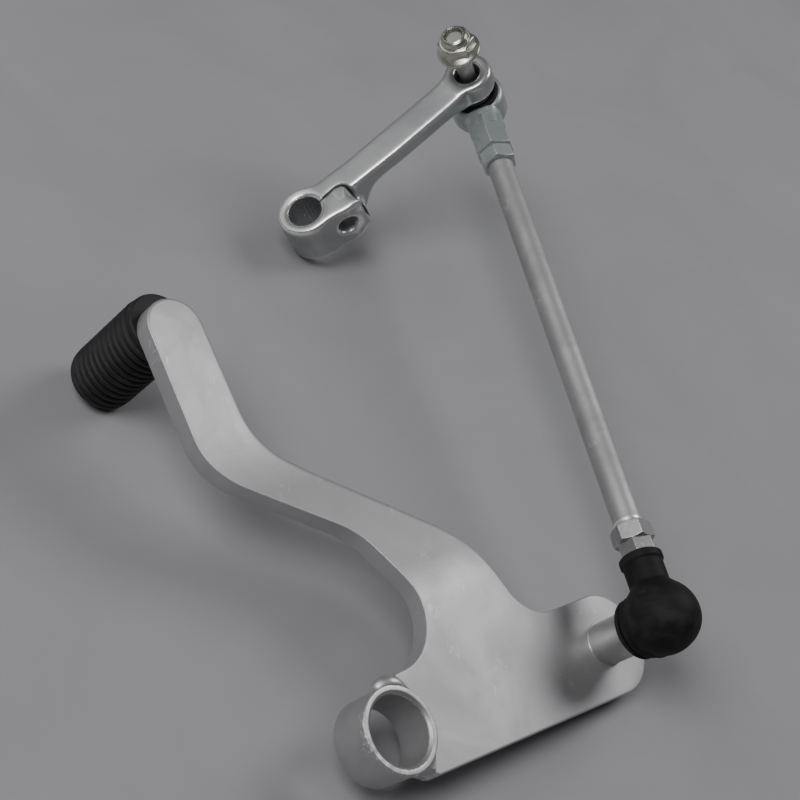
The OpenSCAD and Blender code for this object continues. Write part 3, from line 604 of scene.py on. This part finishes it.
# the web at one end of the weld: angles in degrees, the rest in millimetres
weldFillet = {"from": 185.0, "to": 234.0, "radius": 10.5, "pull": (-11.2, -4.4),
              "corner": (-12.9, -5.95), "onSaddle": (-6.4, -9.3), "bottom": -5.7, "high": 0.95,
              "low": 0.05, "edge": 1.5}


def makeFillet():
    # the weld's end, a web off the tube's side onto the plate's lower corner: rows of
    # (1 - t)^2 A + 2 t (1 - t) B + t^2 C, its height falling as (1 - t)^1.7 from the tube
    p = weldFillet
    v = np.linspace(0, 1, 34)[:, None]
    t = np.linspace(0, 1, 26)
    turn = np.radians(p["from"] + (p["to"] - p["from"]) * v)
    onTube = p["radius"] * np.concatenate([np.cos(turn), np.sin(turn)], axis=1)
    onPlate = np.array(p["corner"]) * (1 - v) + np.array(p["onSaddle"]) * v
    straight = smoothStep(v * 2.5)
    pull = np.array(p["pull"]) * (1 - straight) + (onTube + onPlate) / 2 * straight
    tt = t[None, :, None]
    across = ((1 - tt) ** 2 * onTube[:, None] + 2 * tt * (1 - tt) * pull[:, None]
              + tt ** 2 * onPlate[:, None])
    height = p["low"] + (p["high"] - p["low"]) * (1 - t) ** 1.7
    height = height - 0.25 * smoothStep((t - 0.93) / 0.07)  # it sinks into the plate at its end
    drop = p["edge"] * (1 - np.sqrt(1 - np.clip(1 - v / 0.22, 0, 1) ** 2))
    top = np.concatenate([across, (height[None] - drop)[..., None]], axis=2)
    under = np.concatenate([across, np.full(across.shape[:2] + (1,), p["bottom"])], axis=2)
    rows = np.concatenate([top, under[:, ::-1]], axis=1)
    tips = rows.mean(axis=1, keepdims=True)
    points = np.concatenate([np.repeat(tips[:1], rows.shape[1], 1), rows,
                             np.repeat(tips[-1:], rows.shape[1], 1)])
    fillet = surface("weldFillet", points * mm, "lever")
    dress(fillet, filletMetal)
    return fillet


makeFillet()

# the weld bead: its height, reach and half thickness in millimetres at each angle in degrees
weldBead = {"angle": [200, 207, 215, 270, 296, 308, 318, 327, 335, 342, 350, 357, 365],
            "height": [-4.6, -5.4, -6.4, -6.4, -3.6, -1.3, -0.45, -0.25, -0.30, -0.45, -0.9, -1.4, -2.2],
            "radius": [11.2, 11.2, 11.3, 11.3, 11.3, 11.0, 11.0, 11.2, 11.6, 11.7, 11.5, 11.2, 10.8],
            "thick": [1.3, 1.5, 1.6, 1.6, 1.5, 1.3, 1.25, 1.65, 2.05, 2.15, 2.05, 1.7, 1.2],
            "ripple": 0.16, "pitch": 1.5, "steps": 560, "round": 40}


def makeWeld():
    # a round bead behind the plate round the tube and up the horn, its size rippling along the
    # run behind the plate and smooth where it lies in front
    p = weldBead
    u = np.linspace(0, 1, p["steps"])
    turn = np.radians(p["angle"])
    a = np.interp(u, [0, 1], turn[[0, -1]])
    soft = np.hanning(41) / np.hanning(41).sum()

    def along(key):
        # the listed values at every step, softened by a short moving mean
        return np.convolve(np.pad(np.interp(a, turn, p[key]), 20, mode="edge"), soft, "valid")

    z, reach, thick = along("height"), along("radius"), along("thick")
    centre = np.stack([reach * np.cos(a), reach * np.sin(a), z], axis=1)
    tangent = np.gradient(centre, axis=0)
    run = np.cumsum(np.linalg.norm(tangent, axis=1))
    tangent /= np.linalg.norm(tangent, axis=1, keepdims=True)
    radial = np.stack([np.cos(a), np.sin(a), 0 * a], axis=1)
    radial -= (radial * tangent).sum(1, keepdims=True) * tangent
    radial /= np.linalg.norm(radial, axis=1, keepdims=True)
    other = np.cross(tangent, radial)
    w = np.linspace(0, 2 * math.pi, p["round"], endpoint=False)
    run -= run[0]                                           # millimetres from the first end
    behind = smoothStep((-1.5 - z) / 2)
    size = thick + behind * (0.08 * np.sin(run * 1.7 + 0.6) + 0.04 * np.sin(run * 3.9))
    ripple = p["ripple"] * behind[:, None] * np.abs(np.sin(math.pi * (
        run[:, None] / p["pitch"] + 0.18 * np.cos(w)[None])))
    ends = np.sqrt(np.clip(1 - (1 - np.clip(np.minimum(run, run[-1] - run) / 2.2, 0, 1)) ** 2, 0, 1))
    r = (size[:, None] + ripple) * ends[:, None]
    points = centre[:, None] + r[..., None] * (np.cos(w)[None, :, None] * radial[:, None]
                                               + np.sin(w)[None, :, None] * other[:, None])
    bead = surface("weldBead", points * mm, "lever")
    dress(bead, weldMetal)
    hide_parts("pivot_weld")
    return bead


makeWeld()
print("weld ready")

# where the riveted stud leaves the plate, a narrow upset ring
studRing = {"radius": 6.0, "thick": 0.34, "lift": 0.05}


def makeStudRing():
    # a round section turned about the stud's line, half sunk in the plate
    p = studRing
    w = np.linspace(0, 2 * math.pi, 17)[:-1]
    profile = np.stack([p["radius"] + p["thick"] * np.cos(w), p["lift"] + p["thick"] * np.sin(w)], 1)
    points = revolve(profile, (studBall[0], studBall[1], 0), (0, 0, 1), (1, 0, 0), 160)
    ring = surface("studRing", points, "lever", closeRows=True)
    dress(ring, weldMetal)
    return ring


makeStudRing()
print("stud ring ready")

# the forged arm in millimetres: x from the stud towards the spline, y towards the ear, z along
# the stud's line
forgedArm = {"voxel": 0.29, "passes": 110, "boreRadius": 5.95, "boreFade": 0.8, "slitHalf": 0.5,
             "slitFade": 0.9, "kept": 0.12, "slitX": 52.85, "slitY": 1.1, "slitTurn": 3.0,
             "earEnd": 14.0, "slitClose": 0.2, "pinchX": 59.45, "earRadius": 8.0, "earSquare": 5.0,
             "earMid": 6.8, "wornAndSheenFrom": 0.12, "wornAndSheenTo": 0.42, "cornerX": 54.4, "cornerY": 6.6,
             "cornerReach": 3.4, "rimRadius": 6.6, "rimSlope": 0.85, "top": 14.8}


def makeArm():
    # the CAD node's own form with a forging's rounded edges, crisp round its splines and slit: an
    # even mesh whose points move to the mean of their neighbours, by the share that rounds there
    s = forgedArm
    node = frame["nodes"]["shift_arm"]
    mesh = node.data.copy()
    bm = bmesh.new()
    bm.from_mesh(mesh)
    bmesh.ops.remove_doubles(bm, verts=bm.verts, dist=1e-6)
    bm.to_mesh(mesh)
    bm.free()
    draft = bpy.data.objects.new("armDraft", mesh)
    bpy.context.scene.collection.objects.link(draft)
    remesh = draft.modifiers.new("even", "REMESH")
    remesh.mode = "VOXEL"
    remesh.voxel_size = s["voxel"] * mm
    remesh.use_smooth_shade = True
    arm = bpy.data.meshes.new_from_object(draft.evaluated_get(bpy.context.evaluated_depsgraph_get()))
    bpy.data.objects.remove(draft)

    # places in the arm's own terms
    bore = next(m for m in frame["record"]["mounts"] if m["name"] == "spline_bore")
    along = np.array(bore["pos_m"]) - headBall
    along -= armAxis * (along @ armAxis)
    length = np.linalg.norm(along) / mm
    along /= np.linalg.norm(along)
    across = np.cross(armAxis, along)
    pinch = next(m for m in frame["record"]["mounts"] if m["name"] == "pinch_bolt_hole")
    if (np.array(pinch["pos_m"]) - headBall) @ across < 0:
        across = -across
    at = np.empty(len(arm.vertices) * 3)
    arm.vertices.foreach_get("co", at)
    at = at.reshape(-1, 3)
    x, y = (at - headBall) @ along / mm, (at - headBall) @ across / mm
    z = (at - headBall) @ armAxis / mm
    fromBore = smoothStep((np.hypot(x - length, y) - s["boreRadius"]) / s["boreFade"])
    turn = np.linspace(-math.pi / 2, -math.pi, 12)
    path = np.concatenate([[[length, s["slitY"]]],
                           np.stack([s["slitX"] + s["slitTurn"] + s["slitTurn"] * np.cos(turn),
                                     s["slitY"] + s["slitTurn"] + s["slitTurn"] * np.sin(turn)], 1),
                           [[s["slitX"], s["earEnd"]]]])
    path = resample(path, np.linspace(0, 1, 160))
    reach = np.hypot(x[:, None] - path[:, 0], y[:, None] - path[:, 1])
    nearest = path[reach.argmin(axis=1)]
    gap = reach.min(axis=1)
    fromSlit = smoothStep((gap - s["slitHalf"]) / s["slitFade"])
    corner = smoothStep((s["cornerReach"] - np.hypot(x - s["cornerX"], y - s["cornerY"])) / 1.0)
    share = np.minimum(fromBore, np.maximum(s["kept"] + (1 - s["kept"]) * fromSlit,
                                            corner * (z > s["earMid"] + 2.0)))

    # the slit's walls come closer, and the ear's round upper corner fills out to
    # height = radius (1 - (x / radius)^square)^(1 / square)
    close = s["slitClose"] * (1 - smoothStep((gap - s["slitHalf"]) / 1.6)) / np.maximum(gap, 0.1)
    moveX, moveY = (nearest[:, 0] - x) * close, (nearest[:, 1] - y) * close
    side = np.clip(np.abs(x - s["pinchX"]) / s["earRadius"], 0, 0.97)
    high = s["earRadius"] * np.sqrt(1 - side ** 2)
    fuller = s["earRadius"] * (1 - side ** s["earSquare"]) ** (1 / s["earSquare"])
    up = z - s["earMid"]
    onEar = (x > s["slitX"]) & (x < s["pinchX"]) & (y > s["slitY"]) & (up > 0) & (up < high + 0.3)
    moveZ = np.where(onEar, (fuller - high) * smoothStep((up / high - 0.5) / 0.5), 0.0)
    # the splines run out into a lead-in cone at the front
    fromAxis = np.hypot(x - length, y)
    cone = s["top"] - s["rimSlope"] * (s["rimRadius"] - fromAxis)
    moveZ += np.where((fromAxis < s["rimRadius"]) & (z > cone) & (z > s["earMid"]), cone - z, 0.0)
    at = at + (moveX[:, None] * along + moveY[:, None] * across + moveZ[:, None] * armAxis) * mm

    # each point moves towards the mean of its neighbours, and how far it went marks its worn edges,
    # which also carry a painted highlight
    start = at.copy()
    edge = np.empty(len(arm.edges) * 2, dtype=np.int64)
    arm.edges.foreach_get("vertices", edge)
    a, b = edge.reshape(-1, 2).T
    count = np.bincount(a, minlength=len(at)) + np.bincount(b, minlength=len(at))
    for _ in range(s["passes"]):
        mean = np.stack([np.bincount(a, at[b, k], len(at)) + np.bincount(b, at[a, k], len(at))
                         for k in range(3)], axis=1) / count[:, None]
        at = at + (mean - at) * 0.6 * share[:, None]
    arm.vertices.foreach_set("co", at.ravel())
    # worn edges and the spline rim's lead-in cone take the bare colour: partly wear, partly a painted
    # highlight
    wornAndSheen = np.linalg.norm(at - start, axis=1) / mm
    arm.attributes.new("wornAndSheen", "FLOAT", "POINT").data.foreach_set("value", np.clip(
        (wornAndSheen - s["wornAndSheenFrom"]) / (s["wornAndSheenTo"] - s["wornAndSheenFrom"]), 0, 1) * fromSlit * fromBore
        + (fromAxis < s["rimRadius"]) * (z > s["top"] - 1.3))
    arm.polygons.foreach_set("use_smooth", np.ones(len(arm.polygons), bool))
    arm.update()
    piece = bpy.data.objects.new("forgedArm", arm)
    bpy.context.scene.collection.objects.link(piece)
    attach(piece, "arm")
    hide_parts("shift_arm")
    dress(piece, armSteel)
    print("arm has", len(arm.polygons), "faces")


makeArm()
print("arm ready")

# the peg's sleeve in millimetres
pegSleeve = {"x": 118.6, "top": -21.0, "length": 34.8, "radius": 9.6, "ribs": 11, "groove": 1.1,
             "band": 2.6, "dome": 4.0}


def makePeg():
    # a turned profile: plain band, rounded ribs with narrow grooves between them, and a dome
    p = pegSleeve
    low = -p["length"] + p["dome"]
    pitch = (-p["band"] - low) / p["ribs"]
    z = np.linspace(-p["band"], low, p["ribs"] * 18 + 1)
    phase = ((-p["band"] - z) / pitch) % 1.0
    dip = np.exp(-(np.minimum(phase, 1 - phase) / 0.16) ** 2)
    crown = 0.16 * np.cos(2 * math.pi * (phase - 0.5))
    r = p["radius"] - 0.16 - p["groove"] * dip + crown
    bandAngle = np.linspace(90, 0, 7)
    bandR = p["radius"] - 0.7 - 0.4 + 0.7 * np.cos(np.radians(bandAngle))
    bandZ = -0.7 + 0.7 * np.sin(np.radians(bandAngle))
    domeAngle = np.radians(np.linspace(5, 90, 18))
    domeR = p["radius"] - 0.1 - p["dome"] + p["dome"] * np.cos(domeAngle)
    domeZ = low - p["dome"] * np.sin(domeAngle)
    profile = np.concatenate([
        [[0, 0]], np.stack([bandR, bandZ], axis=1),
        [[p["radius"] - 0.4, -1.4], [p["radius"] - 0.45, -p["band"] + 0.5]],
        np.stack([r, z], axis=1), np.stack([domeR, domeZ], axis=1),
        [[2.6, -p["length"]], [2.3, -p["length"] + 0.25], [0, -p["length"] + 0.3]]])
    origin = np.array([p["x"], 0, p["top"]]) * mm
    points = revolve(profile, origin, (0, 0, 1), (1, 0, 0), 160)
    sleeve = surface("pegSleeve", points, "lever")
    dress(sleeve, pegRubber)
    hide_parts("peg_rubber")
    return sleeve


makePeg()
print("peg ready")

# the ball's boot: millimetres from the ball's centre, angles from straight down the stud
bootSkin = {"radius": 10.4, "neckRadius": 5.5, "neckEnd": 18.4, "collar": 0.5, "fillet": 2.2,
            "lipRadius": 7.7, "lipHeight": -8.3, "foldAngle": 51.5, "creaseAngle": 59.0,
            "round": 200}


def makeBoot():
    # turned round the rod's axis from the collar down the neck and over the ball to its far side;
    # points that face the stud are drawn down to a cone that runs into the lip ring
    p = bootSkin
    big, neck = p["radius"], p["neckRadius"]
    x = np.concatenate([np.full(4, p["neckEnd"]), np.linspace(p["neckEnd"], 6.0, 70)])
    r = np.concatenate([[0.0, 4.7, 4.9, 5.2], np.full(70, neck)])
    collar = np.exp(-(np.maximum(np.abs(x - (p["neckEnd"] - 1.4)) - 0.7, 0) / 0.6) ** 2)
    r = np.where(x < p["neckEnd"] - 1e-6, neck + p["collar"] * collar, r)
    roundEnd = np.clip((p["neckEnd"] - x) / 0.6, 0, 1)
    r = np.where(np.arange(len(x)) > 3, r - 0.5 * (1 - np.sqrt(1 - (1 - roundEnd) ** 2)), r)
    ball = np.sqrt(np.maximum(big ** 2 - x ** 2, 0))
    k = p["fillet"]
    h = np.clip(0.5 + 0.5 * (ball - r) / k, 0, 1)
    blend = r * (1 - h) + ball * h + k * h * (1 - h)
    r = np.where(x < big + 4, blend, r)
    a = np.linspace(math.atan2(r[-1], x[-1]), math.pi, 110)[1:]
    radius = np.interp(a, [a[0], a[0] + 0.5], [math.hypot(r[-1], x[-1]), big])
    radius = radius * (1 - 0.05 * smoothStep((a - 1.8) / 1.0))      # the back sags a little
    x = np.concatenate([x, radius * np.cos(a)])
    r = np.concatenate([r, radius * np.sin(a)])
    phi = np.linspace(0, 2 * math.pi, p["round"], endpoint=False)
    local = np.stack([np.repeat(x[:, None], len(phi), 1), r[:, None] * np.cos(phi),
                      r[:, None] * np.sin(phi)], axis=-1)
    axes = np.stack([rodAxis, tiltAxis, rodUp])
    v = local @ axes                                       # seen from the ball, row axes
    d = np.linalg.norm(v, axis=-1)
    unit = v / np.maximum(d, 1e-9)[..., None]
    beta = np.arccos(np.clip(-unit[..., 2], -1, 1))        # angle from straight down the stud
    lip = math.atan2(p["lipRadius"], -p["lipHeight"])
    touch = lip + math.acos(min(1.0, big / math.hypot(p["lipRadius"], p["lipHeight"])))
    coneDistance = big / np.cos(touch - np.clip(beta, lip, touch))
    flat = -p["lipHeight"] / np.maximum(np.cos(beta), 0.05)
    drawn = np.where(beta < lip, flat, np.maximum(coneDistance, d))
    reach = np.where(beta < touch, drawn, d)
    # one soft fold over the lip ring and the crease above it, both on the ball only
    fold, crease = math.radians(p["foldAngle"]), math.radians(p["creaseAngle"])
    onBall = smoothStep((p["neckEnd"] / 2 - x) / 2)[:, None]
    reach = reach + onBall * (0.35 * np.exp(-((beta - fold) / 0.075) ** 2)
                              - 0.50 * np.exp(-((beta - crease) / 0.050) ** 2))
    points = studBall + unit * reach[..., None] * mm
    skin = surface("bootSkin", points, None)
    dress(skin, bootRubber)
    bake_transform(skin)
    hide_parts("boot")
    return skin


makeBoot()
print("boot ready")

# the studio: the floor's direction up, a point on it in millimetres, its size in metres
studio = {"floorUp": (0.2962, 0.1131, 0.9484), "floorTouch": (150.0, -91.0, -57.2),
          "floorSize": 4.0, "floorColor": (0.382, 0.380, 0.395), "floorRough": 0.75,
          "floorDark": (0.341, 0.339, 0.353), "floorPatches": 14.0, "world": 0.075,
          "worldColor": (0.80, 0.81, 0.83), "lens": 72.0}


def makeFloor():
    # one large square on the plane that the peg's tip, the clamp and the lever's corner rest on
    up = np.array(studio["floorUp"])
    up /= np.linalg.norm(up)
    alongX = np.cross((0.0, 1.0, 0.0), up)
    alongX /= np.linalg.norm(alongX)
    alongY = np.cross(up, alongX)
    corners = np.array([(-1, -1), (1, -1), (1, 1), (-1, 1)]) * studio["floorSize"]
    points = np.array(studio["floorTouch"]) * mm + corners @ np.stack([alongX, alongY])
    mesh = bpy.data.meshes.new("floor")
    mesh.from_pydata(points.tolist(), [], [(0, 1, 2, 3)])
    floor = bpy.data.objects.new("floor", mesh)
    bpy.context.scene.collection.objects.link(floor)
    mat, tree, shader = newMaterial("paleFloor")
    at = add(tree, "ShaderNodeTexCoord").outputs["Object"]
    patch = useGroup(tree, smudges, {"Vector": at, "Scale": studio["floorPatches"], "Low": 0.2,
                     "High": 0.8})
    color = mixColor(tree, patch.outputs["Share"], (*studio["floorColor"], 1),
                     (*studio["floorDark"], 1))
    tree.links.new(color, shader.inputs["Base Color"])
    shader.inputs["Roughness"].default_value = studio["floorRough"]
    shader.inputs["Specular IOR Level"].default_value = 0.25
    # clear from below, so that the part can be looked at from under the floor as well
    clear = add(tree, "ShaderNodeBsdfTransparent")
    side = add(tree, "ShaderNodeNewGeometry")
    both = add(tree, "ShaderNodeMixShader", {0: side.outputs["Backfacing"]})
    tree.links.new(shader.outputs["BSDF"], both.inputs[1])
    tree.links.new(clear.outputs["BSDF"], both.inputs[2])
    tree.links.new(both.outputs[0], tree.nodes["Material Output"].inputs["Surface"])
    dress(floor, mat)


makeFloor()

# where the camera stands and looks, fitted to the tube, the stud, the rod and the arm
camRight = np.array([-0.407288, -0.686459, 0.602404])
camDown = np.array([-0.893078, 0.161319, -0.419986])
camForward = np.array([0.191124, -0.709049, -0.678765])
camPlace = np.array([-2.4936, 253.0245, 287.4999]) * mm


def makeCamera():
    data = bpy.data.cameras.new("camera")
    data.lens = studio["lens"]
    data.sensor_width = 36.0
    data.sensor_height = 36.0
    data.sensor_fit = "HORIZONTAL"
    data.clip_start = 0.01
    cam = bpy.data.objects.new("camera", data)
    m = np.eye(4)
    m[:3, 0], m[:3, 1], m[:3, 2], m[:3, 3] = camRight, -camDown, -camForward, camPlace
    cam.matrix_world = Matrix(m.tolist())
    bpy.context.scene.collection.objects.link(cam)
    bpy.context.scene.camera = cam


makeCamera()

middle = np.array([0.072, -0.066, -0.010])
lamps = {  # direction from the object in the camera's own terms, distance, size, power in watts
    "key": {"right": 0.82, "up": 0.57, "back": 0.05, "far": 1.0, "size": 0.50, "power": 3.4},
    "left": {"right": -0.50, "up": 0.76, "back": 0.42, "far": 1.1, "size": 0.9, "power": 1.8},
    "top": {"right": -0.15, "up": 0.45, "back": 0.88, "far": 1.1, "size": 0.60, "power": 5.9}}


def makeLamps():
    for name, lamp in lamps.items():
        aim = lamp["right"] * camRight - lamp["up"] * camDown - lamp["back"] * camForward
        aim /= np.linalg.norm(aim)
        data = bpy.data.lights.new(name, "AREA")
        data.shape = "DISK"
        data.size = lamp["size"]
        data.energy = lamp["power"]
        side = np.cross((0.0, 0.0, 1.0), aim)
        side /= np.linalg.norm(side)
        m = np.eye(4)
        m[:3, 0], m[:3, 1], m[:3, 2] = side, np.cross(aim, side), aim
        m[:3, 3] = middle + aim * lamp["far"]
        obj = bpy.data.objects.new(name, data)
        obj.matrix_world = Matrix(m.tolist())
        bpy.context.scene.collection.objects.link(obj)
    world = bpy.data.worlds.new("studio")
    world.use_nodes = True
    world.node_tree.nodes["Background"].inputs["Color"].default_value = (*studio["worldColor"], 1)
    world.node_tree.nodes["Background"].inputs["Strength"].default_value = studio["world"]
    bpy.context.scene.world = world


makeLamps()
print("studio ready")
